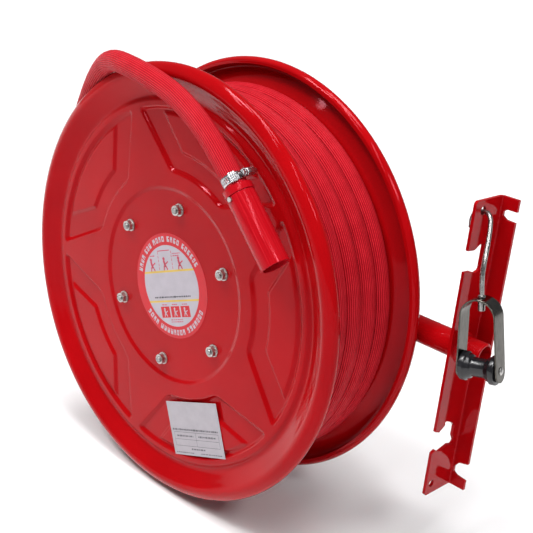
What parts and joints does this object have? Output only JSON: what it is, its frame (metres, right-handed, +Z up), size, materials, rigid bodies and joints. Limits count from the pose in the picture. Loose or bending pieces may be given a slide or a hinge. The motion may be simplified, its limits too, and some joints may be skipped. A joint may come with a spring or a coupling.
{
  "type": "fire_hose_reel",
  "caption": "Wall-mounted fire hose reel: red pressed discs on a swivel hub, wound rubber hose, twist shut-off nozzle, waterway pipe, wall bracket and hanging hose guide",
  "frame": {"origin": "wall face of the bracket, level with the waterway pipe", "axes": "+Z up, +Y into the wall, +X to the right seen from the front"},
  "size_m": [0.7124, 0.2622, 0.5821],
  "materials": {
    "red_paint": "gloss",
    "galvanised": "satin",
    "plain_steel": "satin",
    "hose_rubber": "satin",
    "nozzle_plastic": "gloss",
    "black_plastic": "gloss",
    "black_rubber": "matte",
    "brass": "satin",
    "bush_plastic": "matte",
    "printed_sheet": "gloss"
  },
  "bodies": {
    "wall_mount": {"wall_bracket": "red_paint", "inlet_pipe": "red_paint", "pipe_weld": "red_paint", "waterway_elbow": "red_paint", "spindle": "brass", "spindle_seals": "black_rubber", "thrust_washer": "bush_plastic", "retaining_ring": "plain_steel"},
    "reel": {"front_disc": "red_paint", "rear_disc": "red_paint", "front_web": "plain_steel", "rear_web": "plain_steel", "drum_shell": "red_paint", "hub_body": "brass", "hub_bushes": "bush_plastic", "tie_studs": "galvanised", "front_washers": "galvanised", "front_nuts": "galvanised", "rear_washers": "galvanised", "rear_nuts": "galvanised", "hose_outlet": "brass", "inner_clamp": "plain_steel", "hub_label": "printed_sheet", "service_label": "printed_sheet", "hose_coil": "hose_rubber", "hose_end": "hose_rubber", "clamp_band": "plain_steel", "clamp_screw": "plain_steel", "nozzle_tail": "nozzle_plastic", "nozzle_seal": "black_rubber"},
    "nozzle_barrel": {"nozzle_barrel": "nozzle_plastic", "nozzle_screw": "galvanised"},
    "shutoff_plug": {"shutoff_plug": "brass"},
    "guide_hook": {"guide_rod": "galvanised"},
    "guide_strap": {"guide_strap": "galvanised", "roller_pin": "galvanised"},
    "guide_roller": {"guide_roller": "black_plastic"}
  },
  "joints": [
    {"name": "reel_spin", "type": "hinge", "parent": "wall_mount", "child": "reel", "pos_m": [-0.35, -0.1375, 0], "axis": [0, 1, 0], "continuous": true},
    {"name": "nozzle_twist", "type": "hinge", "parent": "reel", "child": "nozzle_barrel", "pos_m": [-0.1794, -0.242, 0.14089], "axis": [0.7119, 0, -0.7022], "range_deg": [0, 180]},
    {"name": "plug_travel", "type": "slide", "parent": "reel", "child": "shutoff_plug", "axis": [0.7119, 0, -0.7022], "range_m": [0, 0.008]},
    {"name": "guide_swing", "type": "hinge", "parent": "wall_mount", "child": "guide_hook", "pos_m": [-0.0133, -0.0415, 0.1765], "axis": [1, 0, 0], "range_deg": [-75, 0]},
    {"name": "guide_swivel", "type": "hinge", "parent": "guide_hook", "child": "guide_strap", "pos_m": [0.0287, -0.078, 0.0915], "axis": [-0.1788, 0, 0.9839], "continuous": true},
    {"name": "roller_spin", "type": "hinge", "parent": "guide_strap", "child": "guide_roller", "pos_m": [0.04372, -0.078, 0.00885], "axis": [0.9718, 0.1564, 0.1766], "continuous": true}
  ],
  "couplings": [
    {"joint": "plug_travel", "follows": "nozzle_twist", "m_per_rad": 0.002546}
  ]
}
